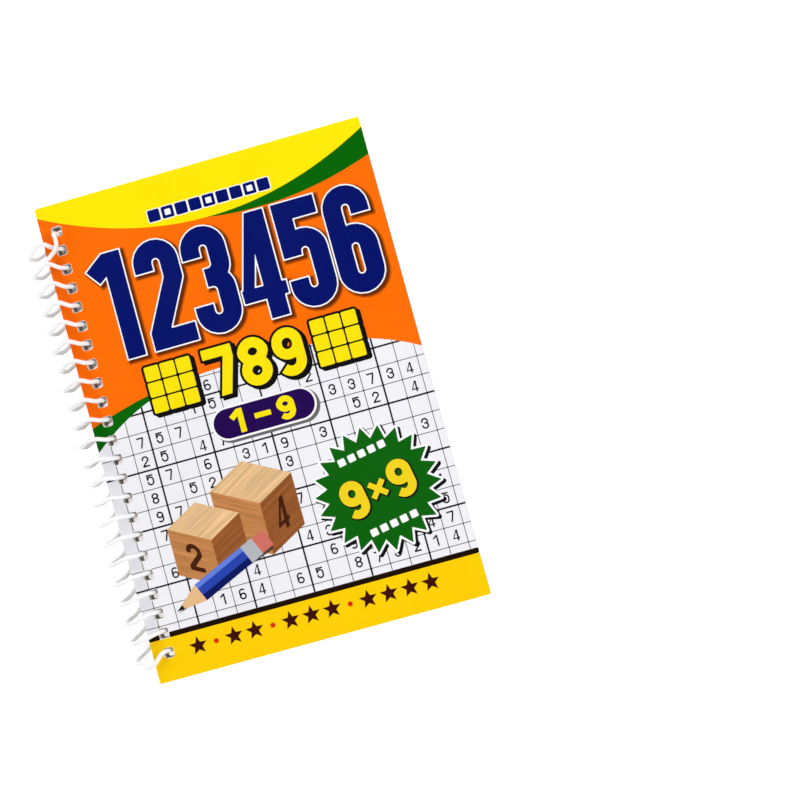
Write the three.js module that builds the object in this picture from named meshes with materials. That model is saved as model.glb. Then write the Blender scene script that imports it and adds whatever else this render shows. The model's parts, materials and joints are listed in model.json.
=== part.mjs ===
// Spiral-bound puzzle book, closed and lying on its back cover. Millimetres, +Z up.
// +X runs from the spine to the fore edge, +Y to the head of the book.
// The finished group has its origin at the bottom centre of its bounding box.
import * as THREE from "three";

const { lerp, smoothstep } = THREE.MathUtils;

// Sheets
const PAGE_WIDTH = 145;
const PAGE_HEIGHT = 210;
const LEAF_THICKNESS = 0.09;
const LEAVES_PER_SECTION = 5;
const SECTION_COUNT = 18;
const COVER_THICKNESS = 0.3;
const SHEET_GAP = 0.02; // air between neighbouring sheets

// Coil wire
const WIRE_DIAMETER = 1.9;
const COIL_DIAMETER = 16.4; // across the wire's centre line
const HEAD_LEAN = 0.8; // half the rise of the front strand at the first hole
const FOOT_LEAN = -0.55; // the same at the last hole, where the strand drops
const STEPS_PER_TURN = 24;
const WIRE_SIDES = 6;

// Punched holes
const HOLE_PITCH = 25.4 / 3;
const HOLE_CLEARANCE = 0.35; // wire to the edge of its hole
const END_MARGIN = 11; // least distance from an end hole's centre to the sheet's end
const SPINE_SETBACK = 0.4; // coil axis to the spine edge of the sheets

const COLOURS = {
  frontCover: 0xff6e00,
  backCover: 0xf4c400,
  paper: 0xf3f0e6,
  coil: 0xf7f7fa,
};

const sectionThickness = LEAVES_PER_SECTION * LEAF_THICKNESS;
const stackHeight =
  SECTION_COUNT * sectionThickness + 2 * COVER_THICKNESS + (SECTION_COUNT + 1) * SHEET_GAP;
const halfStack = stackHeight / 2;

const coilRadius = COIL_DIAMETER / 2;
const wireRadius = WIRE_DIAMETER / 2;
const outerRadius = coilRadius + wireRadius;
const innerRadius = coilRadius - wireRadius;
// Past this angle from the +X direction the wire lies wholly above or below the stack.
const clearAngle = Math.asin((halfStack + wireRadius) / coilRadius);
// The front strand finishes its lean a little to the left of the spine edge.
const leanEndAngle = (2 * Math.PI) / 3;

const holeCount = Math.floor((PAGE_HEIGHT - 2 * END_MARGIN) / HOLE_PITCH) + 1;
const lastPass = holeCount - 1;
// A hole spans the wire from where it enters the covers to its furthest reach at mid-stack.
const holeNear = Math.sqrt(innerRadius ** 2 - halfStack ** 2) - HOLE_CLEARANCE;
const holeFar = outerRadius + HOLE_CLEARANCE;
const greatestLean = Math.max(Math.abs(HEAD_LEAN), Math.abs(FOOT_LEAN));
const holeHeight = WIRE_DIAMETER + 2 * (greatestLean + HOLE_CLEARANCE);

// Passes of the wire through the stack are counted from the foot of the book to its head.
const holeY = (pass) => (pass - lastPass / 2) * HOLE_PITCH;
const leanAt = (pass) => lerp(FOOT_LEAN, HEAD_LEAN, pass / lastPass);

function rectangle(path, x0, x1, y0, y1) {
  path.moveTo(x0, y0);
  path.lineTo(x1, y0);
  path.lineTo(x1, y1);
  path.lineTo(x0, y1);
  path.closePath();
  return path;
}

// A flat sheet with its row of holes, seen from above, its underside at z = 0.
function punchedSheet(thickness) {
  const spine = SPINE_SETBACK;
  const halfPage = PAGE_HEIGHT / 2;
  const outline = rectangle(new THREE.Shape(), spine, spine + PAGE_WIDTH, -halfPage, halfPage);
  for (let pass = 0; pass <= lastPass; pass += 1) {
    const y = holeY(pass);
    const halfHole = holeHeight / 2;
    outline.holes.push(rectangle(new THREE.Path(), holeNear, holeFar, y - halfHole, y + halfHole));
  }
  return new THREE.ExtrudeGeometry(outline, { depth: thickness, bevelEnabled: false });
}

// Centre line of the coil at an angle about its axis, counted from the first pass at the foot.
// Each turn rises straight through the stack, leans over the front, comes level round the
// left, and climbs to the next hole only on the back strand below the stack.
function coilPoint(angle) {
  const turn = 2 * Math.PI;
  const pass = THREE.MathUtils.clamp(Math.floor((angle + clearAngle) / turn), 0, lastPass);
  const around = angle - pass * turn;
  const lean = leanAt(pass) * (2 * smoothstep(around, clearAngle, leanEndAngle) - 1);
  const climb = smoothstep(around, Math.PI + clearAngle, turn - clearAngle);
  const nextEntry = holeY(pass + 1) - leanAt(pass + 1);
  const y = lerp(holeY(pass) + lean, nextEntry, climb);
  return new THREE.Vector3(coilRadius * Math.cos(angle), y, coilRadius * Math.sin(angle));
}

// The coil's stations: evenly turned points, then a straight run of one wire diameter at each end.
function coilStations() {
  const step = (2 * Math.PI) / STEPS_PER_TURN;
  const endSteps = Math.ceil(clearAngle / step);
  const stations = [];
  for (let k = -endSteps; k <= lastPass * STEPS_PER_TURN + endSteps; k += 1) {
    const angle = k * step;
    const point = coilPoint(angle);
    const ahead = coilPoint(angle + step / 100);
    const behind = coilPoint(angle - step / 100);
    const along = ahead.sub(behind).normalize();
    const outward = new THREE.Vector3(Math.cos(angle), 0, Math.sin(angle));
    stations.push({ point, along, outward });
  }
  const straightOn = (station, distance) => ({
    ...station,
    point: station.point.clone().addScaledVector(station.along, distance),
  });
  stations.unshift(straightOn(stations[0], -WIRE_DIAMETER));
  stations.push(straightOn(stations[stations.length - 1], WIRE_DIAMETER));
  return stations;
}

// A closed tube through the stations: a ring of points at each, and a fan over both ends.
function wireTube(stations) {
  const positions = [];
  for (const { point, along, outward } of stations) {
    const across = new THREE.Vector3().crossVectors(along, outward).normalize();
    const away = new THREE.Vector3().crossVectors(across, along);
    for (let side = 0; side < WIRE_SIDES; side += 1) {
      const turn = (2 * Math.PI * side) / WIRE_SIDES;
      const corner = point.clone();
      corner.addScaledVector(away, wireRadius * Math.cos(turn));
      corner.addScaledVector(across, wireRadius * Math.sin(turn));
      positions.push(corner.x, corner.y, corner.z);
    }
  }
  const faces = [];
  const lastRing = (stations.length - 1) * WIRE_SIDES;
  for (let ring = 0; ring < lastRing; ring += WIRE_SIDES) {
    for (let side = 0; side < WIRE_SIDES; side += 1) {
      const a = ring + side;
      const b = ring + ((side + 1) % WIRE_SIDES);
      faces.push(a, b, b + WIRE_SIDES);
      faces.push(a, b + WIRE_SIDES, a + WIRE_SIDES);
    }
  }
  for (let side = 1; side < WIRE_SIDES - 1; side += 1) {
    faces.push(0, side + 1, side);
    faces.push(lastRing, lastRing + side, lastRing + side + 1);
  }
  const geometry = new THREE.BufferGeometry();
  geometry.setAttribute("position", new THREE.Float32BufferAttribute(positions, 3));
  geometry.setIndex(faces);
  geometry.computeVertexNormals();
  return geometry;
}

// Least distance between the wire's surfaces on stations more than half a turn apart.
function leastGap(stations) {
  let least = Infinity;
  for (let i = 0; i < stations.length; i += 1) {
    for (let j = i + STEPS_PER_TURN / 2; j < stations.length; j += 1) {
      least = Math.min(least, stations[i].point.distanceTo(stations[j].point));
    }
  }
  return least - WIRE_DIAMETER;
}

function namedMesh(name, geometry, color, roughness) {
  const material = new THREE.MeshStandardMaterial({ color, roughness, metalness: 0 });
  const mesh = new THREE.Mesh(geometry, material);
  mesh.name = name;
  return mesh;
}

// Everything is laid out about the coil axis, then moved so that the box stands on the origin.
const book = new THREE.Group();
book.position.set((outerRadius - SPINE_SETBACK - PAGE_WIDTH) / 2, 0, outerRadius);

let level = -halfStack;
function lay(name, thickness, color, roughness) {
  const mesh = namedMesh(name, punchedSheet(thickness), color, roughness);
  mesh.position.z = level;
  book.add(mesh);
  level += thickness + SHEET_GAP;
}

lay("back_cover", COVER_THICKNESS, COLOURS.backCover, 0.35);
for (let section = SECTION_COUNT; section >= 1; section -= 1) {
  lay(`leaves_${String(section).padStart(2, "0")}`, sectionThickness, COLOURS.paper, 0.9);
}
lay("front_cover", COVER_THICKNESS, COLOURS.frontCover, 0.3);

const stations = coilStations();
book.add(namedMesh("coil", wireTube(stations), COLOURS.coil, 0.25));
console.log(`coil: ${lastPass} turns, least gap to itself ${leastGap(stations).toFixed(2)} mm`);

export default book;
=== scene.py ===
"""A spiral-bound puzzle book, dressed over its CAD frame.

Sizes are in millimetres until a mesh is made. On the page, u runs from the spine edge to the
fore edge and v from the foot to the head.
"""
import json
import math

import bpy
import numpy as np
from mathutils import Matrix, Vector
from mathutils.geometry import delaunay_2d_cdt


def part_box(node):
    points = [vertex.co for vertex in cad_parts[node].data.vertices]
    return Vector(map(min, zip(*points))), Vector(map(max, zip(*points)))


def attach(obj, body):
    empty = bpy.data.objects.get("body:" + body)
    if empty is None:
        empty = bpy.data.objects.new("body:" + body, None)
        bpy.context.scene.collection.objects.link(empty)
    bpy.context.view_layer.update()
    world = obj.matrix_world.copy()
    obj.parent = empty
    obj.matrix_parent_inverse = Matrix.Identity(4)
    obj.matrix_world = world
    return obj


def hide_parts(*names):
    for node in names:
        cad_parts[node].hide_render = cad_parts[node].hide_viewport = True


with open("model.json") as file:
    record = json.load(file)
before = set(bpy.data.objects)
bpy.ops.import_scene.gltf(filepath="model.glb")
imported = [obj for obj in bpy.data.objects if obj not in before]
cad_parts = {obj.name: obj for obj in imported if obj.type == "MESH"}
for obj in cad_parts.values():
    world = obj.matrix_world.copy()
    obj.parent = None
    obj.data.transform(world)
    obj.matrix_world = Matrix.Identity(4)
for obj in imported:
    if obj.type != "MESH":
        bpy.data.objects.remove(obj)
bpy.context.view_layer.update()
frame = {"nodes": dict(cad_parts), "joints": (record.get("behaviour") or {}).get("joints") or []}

MM = 0.001
rng = np.random.default_rng(29)

# Places taken from the frame
COVER_LOW, COVER_HIGH = (np.array(corner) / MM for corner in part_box("front_cover"))
BACK_LOW, BACK_HIGH = (np.array(corner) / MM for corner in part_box("back_cover"))
COIL_LOW, COIL_HIGH = (np.array(corner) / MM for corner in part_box("coil"))
HINGE = np.array(frame["joints"][0]["pos_m"]) / MM
PAGE_WIDTH = COVER_HIGH[0] - COVER_LOW[0]
PAGE_HEIGHT = COVER_HIGH[1] - COVER_LOW[1]
HALF_STACK = COVER_HIGH[2] - HINGE[2]
SECTIONS = sorted(node for node in frame["nodes"] if node.startswith("leaves_"))

# Coil and holes, as on the solids
WIRE_RADIUS = 0.95
COIL_RADIUS = (COIL_HIGH[2] - COIL_LOW[2]) / 2 - WIRE_RADIUS
HOLE_PITCH = 25.4 / 3
HOLE_COUNT = 23
HOLE_CLEARANCE = 0.35
HOLE_HEIGHT = 4.2
HOLE_CORNER = 0.9
HOLE_OFFSET = 0.9  # how far up in its hole the wire stands
LEFT_START = (-1.1, 1.0)  # where a turn comes down on the left from its hole's middle, at foot and head
LEFT_END = 1.1  # where it passes under the book again
SWINGS = (-3.7, -0.2, 3.4)  # how far a strand swings sideways over the cover: first turn, second, last
CLIMB_START = 5.0  # how steeply the back strand sets off, in millimetres over its whole span
COIL_STEPS = 64
WIRE_SIDES = 14
SPINE_SETBACK = COVER_LOW[0] - HINGE[0]
HOLE_NEAR = math.sqrt((COIL_RADIUS - WIRE_RADIUS) ** 2 - HALF_STACK**2) - HOLE_CLEARANCE - SPINE_SETBACK
HOLE_FAR = COIL_RADIUS + WIRE_RADIUS + HOLE_CLEARANCE - SPINE_SETBACK
HOLE_V = PAGE_HEIGHT / 2 + (np.arange(HOLE_COUNT) - (HOLE_COUNT - 1) / 2) * HOLE_PITCH

LEAVES_PER_SECTION = 5
LEAF_THICKNESS = 0.085
INK = 0.012  # thickness of one printed layer
CARD_CORNER = 0.6
RIM = 0.16  # bare card left around each hole in the print

# Printed colours, as red, green and blue from 0 to 255
ORANGE = (250, 108, 2)
YELLOW = (253, 227, 3)
GREEN = (3, 98, 2)
PANEL = (236, 235, 240)
GOLD = (250, 202, 3)
NAVY = (2, 17, 102)
PURPLE = (35, 6, 78)
BURST_GREEN = (10, 95, 10)
LETTER_YELLOW = (246, 223, 10)
WHITE = (246, 246, 248)
BLACK = (14, 12, 14)
MAROON = (58, 14, 6)
RED = (222, 40, 12)
RULE_BLACK = (25, 11, 0)
GRID_BLACK = (30, 28, 34)
TITLE_SHADE = (40, 12, 0)
FIGURE_YELLOW = (236, 206, 31)
LABEL_BROWN = (66, 30, 12)
CARD_WHITE = (236, 234, 230)
LEAF_WHITE = (243, 240, 231)
LEAF_BLACK = (34, 33, 36)
COIL_WHITE = (247, 247, 250)


# Materials

def linear(colour):
    """A 0 to 255 screen colour as a linear one, by the sRGB curve."""
    c = np.array(colour, dtype=float) / 255
    low = c / 12.92
    high = ((c + 0.055) / 1.055) ** 2.4
    return (*np.where(c <= 0.04045, low, high), 1.0)


def new_group(name, inputs, outputs):
    """An empty shader node group with its sockets: (name, kind, default) in, (name, kind) out."""
    tree = bpy.data.node_groups.new(name, "ShaderNodeTree")
    for label, kind, default in inputs:
        socket = tree.interface.new_socket(label, in_out="INPUT", socket_type=kind)
        socket.default_value = default
    for label, kind in outputs:
        tree.interface.new_socket(label, in_out="OUTPUT", socket_type=kind)
    return tree, tree.nodes.new("NodeGroupInput"), tree.nodes.new("NodeGroupOutput")


def add(tree, kind, inputs=(), **settings):
    """A node with its settings, and its inputs linked from sockets or set to values."""
    node = tree.nodes.new(kind)
    for key, value in settings.items():
        setattr(node, key, value)
    for key, value in dict(inputs).items():
        if isinstance(value, bpy.types.NodeSocket):
            tree.links.new(value, node.inputs[key])
        else:
            node.inputs[key].default_value = value
    return node


def noise(tree, vector, scale, detail):
    """Fractal noise from 0 to 1, scale in cycles per metre."""
    inputs = {"Vector": vector, "Scale": scale, "Detail": detail}
    return add(tree, "ShaderNodeTexNoise", inputs).outputs["Fac"]


def spread(tree, value, low, high):
    """A noise value stretched from its usual 0.3 to 0.7 onto low to high."""
    inputs = {"Value": value, "From Min": 0.3, "From Max": 0.7, "To Min": low, "To Max": high}
    return add(tree, "ShaderNodeMapRange", inputs).outputs["Result"]


def combined(tree, operation, first, second):
    """Two values added, multiplied or compared."""
    return add(tree, "ShaderNodeMath", {0: first, 1: second}, operation=operation).outputs[0]


def shaded(tree, colour, factor):
    """A colour times a factor."""
    inputs = {0: colour, "Scale": factor}
    return add(tree, "ShaderNodeVectorMath", inputs, operation="SCALE").outputs["Vector"]


def make_grain_group():
    """Uneven ink or dye: the colour times noise at two scales, cloudy and fine."""
    tree, given, result = new_group(
        "uneven_ink",
        [("Colour", "NodeSocketColor", (1, 1, 1, 1)), ("Amount", "NodeSocketFloat", 0.05),
         ("Fine scale", "NodeSocketFloat", 2500.0)],
        [("Colour", "NodeSocketColor")],
    )
    place = add(tree, "ShaderNodeTexCoord").outputs["Object"]
    cloudy = spread(tree, noise(tree, place, 28.0, 3.0), -1.0, 1.0)
    fine = spread(tree, noise(tree, place, given.outputs["Fine scale"], 2.0), -1.0, 1.0)
    change = combined(tree, "MULTIPLY", combined(tree, "ADD", cloudy, fine), given.outputs["Amount"])
    uneven = shaded(tree, given.outputs["Colour"], combined(tree, "ADD", change, 1.0))
    tree.links.new(uneven, result.inputs["Colour"])
    return tree


def make_surface_group():
    """Finish of a sheet: roughness drifts with broad noise, and fine and broad noise make a height."""
    tree, given, result = new_group(
        "sheet_finish",
        [("Smoothest", "NodeSocketFloat", 0.2), ("Roughest", "NodeSocketFloat", 0.35),
         ("Fine scale", "NodeSocketFloat", 1800.0)],
        [("Roughness", "NodeSocketFloat"), ("Height", "NodeSocketFloat")],
    )
    place = add(tree, "ShaderNodeTexCoord").outputs["Object"]
    fine = noise(tree, place, given.outputs["Fine scale"], 3.0)
    broad = noise(tree, place, 45.0, 2.0)
    rough = spread(tree, broad, given.outputs["Smoothest"], given.outputs["Roughest"])
    tree.links.new(rough, result.inputs["Roughness"])
    tree.links.new(combined(tree, "ADD", fine, broad), result.inputs["Height"])
    return tree


def make_streaks_group():
    """Streaks: the colour darkened by noise that a mapping turns and draws out along its long sides."""
    tree, given, result = new_group(
        "streaks",
        [("Colour", "NodeSocketColor", (1, 1, 1, 1)), ("Darkest", "NodeSocketFloat", 0.8),
         ("Turn", "NodeSocketVector", (0, 0, 0)), ("Size", "NodeSocketVector", (1, 1, 1))],
        [("Colour", "NodeSocketColor")],
    )
    place = add(tree, "ShaderNodeTexCoord").outputs["Object"]
    drawn_out = {"Vector": place, "Rotation": given.outputs["Turn"], "Scale": given.outputs["Size"]}
    mapped = add(tree, "ShaderNodeMapping", drawn_out, vector_type="TEXTURE").outputs["Vector"]
    lines = noise(tree, mapped, 1.0, 2.0)
    inputs = {"Value": lines, "From Min": 0.35, "From Max": 0.65, "To Min": given.outputs["Darkest"]}
    tint = add(tree, "ShaderNodeMapRange", inputs).outputs["Result"]
    tree.links.new(shaded(tree, given.outputs["Colour"], tint), result.inputs["Colour"])
    return tree


grain_group = make_grain_group()
surface_group = make_surface_group()
streaks_group = make_streaks_group()
BUMP_DEPTH = 0.00005  # metres


def finish_material(name, colour, amount, fine_scale, smoothest, roughest, bump):
    """A Principled material whose colour, roughness and bump come from the two shared groups."""
    material = bpy.data.materials.new(name)
    material.use_nodes = True
    tree = material.node_tree
    shader = tree.nodes["Principled BSDF"]
    inputs = {"Colour": linear(colour), "Amount": amount, "Fine scale": fine_scale}
    ink = add(tree, "ShaderNodeGroup", inputs, node_tree=grain_group)
    tree.links.new(ink.outputs["Colour"], shader.inputs["Base Color"])
    inputs = {"Smoothest": smoothest, "Roughest": roughest, "Fine scale": fine_scale}
    sheet = add(tree, "ShaderNodeGroup", inputs, node_tree=surface_group)
    tree.links.new(sheet.outputs["Roughness"], shader.inputs["Roughness"])
    inputs = {"Strength": bump, "Distance": BUMP_DEPTH, "Height": sheet.outputs["Height"]}
    relief = add(tree, "ShaderNodeBump", inputs)
    tree.links.new(relief.outputs["Normal"], shader.inputs["Normal"])
    return material


def laminated_ink(name, colour):
    """Print under gloss film: nearly even colour, smooth, with faint waves."""
    material = finish_material(
        name, colour, amount=0.02, fine_scale=2500.0, smoothest=0.24, roughest=0.36, bump=0.15)
    material.node_tree.nodes["Principled BSDF"].inputs["Specular IOR Level"].default_value = 0.1
    return material


def page_ink(name, colour):
    """Print on uncoated paper: grainy and dull."""
    return finish_material(
        name, colour, amount=0.08, fine_scale=4000.0, smoothest=0.7, roughest=0.85, bump=0.3)


def add_streaks(material, darkest, turn, size):
    """Streaks put between a material's colour and its shader; turn in radians, size in metres."""
    tree = material.node_tree
    colour = tree.nodes["Principled BSDF"].inputs["Base Color"]
    inputs = {"Colour": colour.links[0].from_socket, "Darkest": darkest, "Turn": turn, "Size": size}
    streaks = add(tree, "ShaderNodeGroup", inputs, node_tree=streaks_group)
    tree.links.new(streaks.outputs["Colour"], colour)
    return material


def paper(name, colour, darkest=0.97):
    """Uncoated paper: faint cloudy fibre, a dull surface, and darker bands through the stack that tint
    each leaf differently and, on the page edges, paint shade between leaves.
    """
    sheet = finish_material(
        name, colour, amount=0.02, fine_scale=3200.0, smoothest=0.8, roughest=0.95, bump=0.35)
    # bands about a leaf apart through the height: a tint per leaf, and painted shade between leaves on
    # the edges
    return add_streaks(sheet, darkest, turn=(0, 0, 0), size=(0.17, 0.17, 0.00011))


def wood_ink(name, colour, along):
    """Printed wood under film: streaks along a direction on the page."""
    angle = math.atan2(along[1], along[0])
    ink = laminated_ink(name, colour)
    return add_streaks(ink, 0.72, turn=(0, 0, angle), size=(0.03, 0.0013, 1.0))


def coil_plastic():
    """Glossy white plastic that lets some light through, with faint handling marks."""
    material = finish_material(
        "coil_plastic", COIL_WHITE, amount=0.012, fine_scale=900.0,
        smoothest=0.16, roughest=0.34, bump=0.12)
    shader = material.node_tree.nodes["Principled BSDF"]
    shader.inputs["Subsurface Weight"].default_value = 0.6
    shader.inputs["Subsurface Radius"].default_value = (1.0, 1.0, 1.0)
    shader.inputs["Subsurface Scale"].default_value = 0.0015
    shader.inputs["Coat Weight"].default_value = 0.3
    return material


# Flat shapes: a region is (points, triangles), points as rows of (u, v)

def border(field, window, step):
    """Border of the region where field(u, v) is below zero, by marching squares on an even grid.

    A grid edge whose ends differ in sign holds a border point, placed where the field's straight
    line between them is zero, and the points on one grid square are joined.
    """
    u_low, u_high, v_low, v_high = window
    us = np.linspace(u_low, u_high, math.ceil((u_high - u_low) / step) + 1)
    vs = np.linspace(v_low, v_high, math.ceil((v_high - v_low) / step) + 1)
    u, v = np.meshgrid(us, vs, indexing="ij")
    f = field(u, v)
    f = np.where(np.abs(f) < 1e-5, 1e-5, f)
    inside = f < 0
    cross_u = inside[:-1] != inside[1:]
    cross_v = inside[:, :-1] != inside[:, 1:]
    id_u = np.full(cross_u.shape, -1)
    id_v = np.full(cross_v.shape, -1)
    id_u[cross_u] = np.arange(cross_u.sum())
    id_v[cross_v] = cross_u.sum() + np.arange(cross_v.sum())
    part_u = (f[:-1] / np.where(cross_u, f[:-1] - f[1:], 1.0))[cross_u]
    part_v = (f[:, :-1] / np.where(cross_v, f[:, :-1] - f[:, 1:], 1.0))[cross_v]
    on_u = np.stack([u[:-1][cross_u] + part_u * (us[1] - us[0]), v[:-1][cross_u]], 1)
    on_v = np.stack([u[:, :-1][cross_v], v[:, :-1][cross_v] + part_v * (vs[1] - vs[0])], 1)
    square = np.stack([id_u[:, :-1], id_v[1:], id_u[:, 1:], id_v[:-1]], -1).reshape(-1, 4)
    count = (square >= 0).sum(1)
    pairs = np.sort(square[count == 2], axis=1)[:, 2:]
    saddles = square[count == 4]
    edges = np.concatenate([pairs, saddles[:, :2], saddles[:, 2:]])
    return np.concatenate([on_u, on_v]), edges


def linked(count, links):
    """Labels for count items, the same for all that links join.

    Each item takes the least label next to it, then the label of that label, until none changes.
    """
    label = np.arange(count)
    while True:
        least = label.copy()
        np.minimum.at(least, links[:, 0], label[links[:, 1]])
        np.minimum.at(least, links[:, 1], label[links[:, 0]])
        least = least[least]
        if np.array_equal(least, label):
            return label
        label = least


def triangulate(points, edges, measure):
    """Delaunay triangles that keep the edges, counterclockwise, on the inner side of those edges.

    Triangles that meet across none of the edges lie on one side. It is the inner one if measure at
    their middles, weighted by area, sums to less than zero.
    """
    flat = [Vector(point) for point in points]
    found = delaunay_2d_cdt(flat, edges.tolist(), [], 0, 1e-7)
    new_points = np.array([tuple(point) for point in found[0]])
    triangles = np.array(found[2])
    a, b, c = (new_points[triangles[:, k]] for k in range(3))
    area = (b[:, 0] - a[:, 0]) * (c[:, 1] - a[:, 1]) - (b[:, 1] - a[:, 1]) * (c[:, 0] - a[:, 0])
    triangles = np.where((area < 0)[:, None], triangles[:, ::-1], triangles)
    sides = np.concatenate([triangles[:, [0, 1]], triangles[:, [1, 2]], triangles[:, [2, 0]]])
    kept_edges = np.array([edge for edge, origin in zip(found[1], found[4]) if origin])
    codes, kept = (np.sort(pairs, axis=1) @ (len(new_points), 1) for pairs in (sides, kept_edges))
    order = np.argsort(codes)
    owner = order % len(triangles)
    is_shared = (codes[order][:-1] == codes[order][1:]) & ~np.isin(codes[order][1:], kept)
    label = linked(len(triangles), np.stack([owner[:-1], owner[1:]], 1)[is_shared])
    votes = np.bincount(label, measure((a + b + c) / 3) * np.abs(area))
    return new_points, triangles[(votes[label] < 0) & (np.abs(area) > 1e-7)]


def fill_field(field, window, step):
    """Region where field(u, v) is below zero inside the window."""
    points, edges = border(field, window, step)
    return triangulate(points, edges, lambda middle: field(*middle.T))


def fill_rings(rings):
    """Region between closed rings of points: inside an odd number of them."""
    points = np.concatenate(rings)
    ends = np.cumsum([len(ring) for ring in rings])
    starts = ends - [len(ring) for ring in rings]
    following = np.arange(len(points)) + 1
    following[ends - 1] = starts
    edges = np.stack([np.arange(len(points)), following], 1)
    start, end = points, points[following]

    def outside(middle):
        """1, or -1 where a ray to the right crosses the rings an odd number of times."""
        above = start[None, :, 1] > middle[:, 1, None]
        spans = above != (end[None, :, 1] > middle[:, 1, None])
        rise = np.where(end[:, 1] == start[:, 1], 1.0, end[:, 1] - start[:, 1])
        share = (middle[:, 1, None] - start[None, :, 1]) / rise
        reach = start[None, :, 0] + share * (end[:, 0] - start[:, 0])
        return 1.0 - 2.0 * ((spans & (reach > middle[:, 0, None])).sum(1) % 2)

    return triangulate(points, edges, outside)


def bar(low, high):
    """A plain rectangle region."""
    corners = [low, (high[0], low[1]), high, (low[0], high[1])]
    return np.array(corners, dtype=float), np.array([[0, 1, 2], [0, 2, 3]])


def joined(regions):
    """Several regions as one."""
    counts = np.cumsum([0] + [len(points) for points, _ in regions])
    triangles = [tris + start for (_, tris), start in zip(regions, counts)]
    return np.concatenate([points for points, _ in regions]), np.concatenate(triangles)


def moved(region, offset):
    """A region shifted by (u, v)."""
    return region[0] + np.array(offset), region[1]


def sheared(region, corner, along, up):
    """A region carried onto a slanted plane: corner plus u times along plus v times up."""
    flat, triangles = region
    return corner + flat[:, :1] * along + flat[:, 1:] * up, triangles


def turned(points, middle, degrees):
    """Points turned about a middle."""
    turn = math.radians(degrees)
    matrix = np.array([[math.cos(turn), math.sin(turn)], [-math.sin(turn), math.cos(turn)]])
    return (np.asarray(points) - middle) @ matrix + middle


def slab(region, z_low, z_high):
    """A region given thickness: triangles above, the same reversed below, a wall on each free edge."""
    flat, triangles = region
    count = len(flat)
    low = np.column_stack([flat, np.full(count, z_low)])
    high = np.column_stack([flat, np.full(count, z_high)])
    sides = np.concatenate([triangles[:, [0, 1]], triangles[:, [1, 2]], triangles[:, [2, 0]]])
    code = sides[:, 0] * count + sides[:, 1]
    free = sides[~np.isin(sides[:, 1] * count + sides[:, 0], code)]
    walls = np.column_stack([free[:, 0], free[:, 1], free[:, 1] + count, free[:, 0] + count])
    faces = (triangles[:, ::-1].tolist(), (triangles + count).tolist(), walls.tolist())
    return np.concatenate([low, high]), [face for group in faces for face in group]


def piece(name, points, faces, material, body, smooth=False):
    """A mesh object from frame points in millimetres, riding on a body."""
    mesh = bpy.data.meshes.new(name)
    mesh.from_pydata(np.asarray(points) * MM, [], faces)
    mesh.polygons.foreach_set("use_smooth", np.full(len(mesh.polygons), smooth))
    mesh.materials.append(material)
    mesh.update()
    obj = bpy.data.objects.new(name, mesh)
    bpy.context.scene.collection.objects.link(obj)
    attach(obj, body)
    return obj


def on_page(points):
    """Page points (u, v, z) in the frame."""
    return np.asarray(points) + np.array([COVER_LOW[0], COVER_LOW[1], 0.0])


def stacked(parts):
    """Several (points, faces) as one."""
    points = np.concatenate([part[0] for part in parts])
    starts = np.cumsum([0] + [len(part[0]) for part in parts])
    faces = []
    for (_, part), start in zip(parts, starts.tolist()):
        faces += [[index + start for index in face] for face in part]
    return points, faces


# Distance fields in the page plane, below zero inside

FAR = 1e3  # stands for no shape near
DIGIT_REACH = 6.0  # outlines and shadows stay within this of their digit


def box_field(u, v, low, high, corner=0.0):
    """Distance to a rectangle from low to high with round corners."""
    middle = (np.array(low) + np.array(high)) / 2
    half = (np.array(high) - np.array(low)) / 2 - corner
    du = np.abs(u - middle[0]) - half[0]
    dv = np.abs(v - middle[1]) - half[1]
    outside = np.hypot(np.maximum(du, 0), np.maximum(dv, 0))
    return outside + np.minimum(np.maximum(du, dv), 0) - corner


def segment_field(u, v, start, end, half):
    """Distance to a straight stroke with round ends."""
    run = np.array(end) - np.array(start)
    length = np.hypot(*run)
    along = ((u - start[0]) * run[0] + (v - start[1]) * run[1]) / length
    across = ((v - start[1]) * run[0] - (u - start[0]) * run[1]) / length
    return np.hypot(along - np.clip(along, 0, length), across) - half


def past(u, v, point, towards):
    """How far a place lies beyond a point, on the side away from towards."""
    run = np.array(point) - np.array(towards)
    return ((u - point[0]) * run[0] + (v - point[1]) * run[1]) / np.hypot(*run)


def stroke_field(u, v, stroke, half):
    """Distance to a stroke along a line of points, cut square at both ends unless it is closed."""
    lengths = np.hypot(*np.diff(stroke, axis=0).T)
    reached = np.concatenate([[0.0], np.cumsum(lengths)])
    is_open = not np.allclose(stroke[0], stroke[-1])
    best = np.full(np.shape(u), FAR)
    for k in np.flatnonzero(lengths > 1e-6):
        one = segment_field(u, v, stroke[k], stroke[k + 1], half)
        if is_open and reached[k] < 2 * half:
            one = np.maximum(one, past(u, v, stroke[0], stroke[1]))
        if is_open and reached[-1] - reached[k + 1] < 2 * half:
            one = np.maximum(one, past(u, v, stroke[-1], stroke[-2]))
        best = np.minimum(best, one)
    return best


def arc(middle, radius, start, end, steps=10):
    """Points on a circle from one angle to another, in degrees, counterclockwise when end is larger."""
    turn = np.radians(np.linspace(start, end, steps + 1))
    return np.stack([middle[0] + radius * np.cos(turn), middle[1] + radius * np.sin(turn)], 1)


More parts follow.
